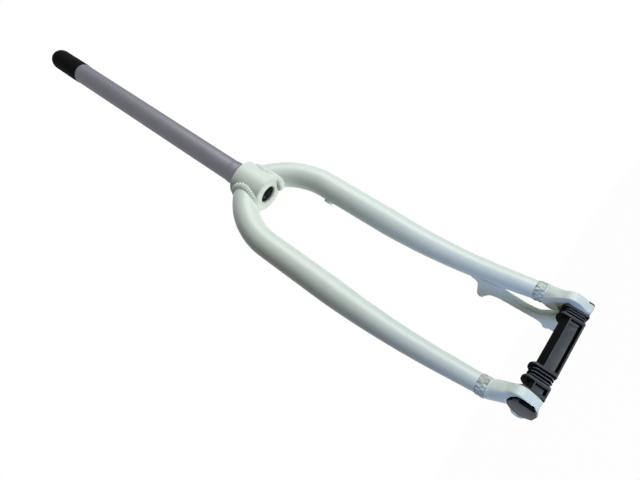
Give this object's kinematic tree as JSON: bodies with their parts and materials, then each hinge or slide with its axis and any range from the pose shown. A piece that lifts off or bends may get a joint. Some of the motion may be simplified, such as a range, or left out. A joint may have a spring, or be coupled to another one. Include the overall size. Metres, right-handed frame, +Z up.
{
  "type": "bicycle fork",
  "caption": "Rigid bicycle fork: round crown, tall straight steerer, two curved tapering blades, forged dropouts, a disc brake post mount and a hub spacer for transport.",
  "frame": {"origin": "on the steerer axis, at the top of the crown", "axes": "+X forward, +Y to the rider's left, +Z up along the steerer"},
  "size_m": [0.0873, 0.147, 0.8025],
  "materials": {
    "paint": "gloss",
    "bare_metal": "satin",
    "black_plastic": "satin"
  },
  "bodies": {
    "root": {"crown": "paint", "left_blade": "paint", "right_blade": "paint", "left_crown_weld": "paint", "right_crown_weld": "paint", "left_tip_weld": "paint", "right_tip_weld": "paint", "left_dropout": "paint", "right_dropout": "paint", "hose_guide": "paint", "steerer": "bare_metal", "steerer_cap": "black_plastic", "spacer": "black_plastic"}
  },
  "joints": []
}
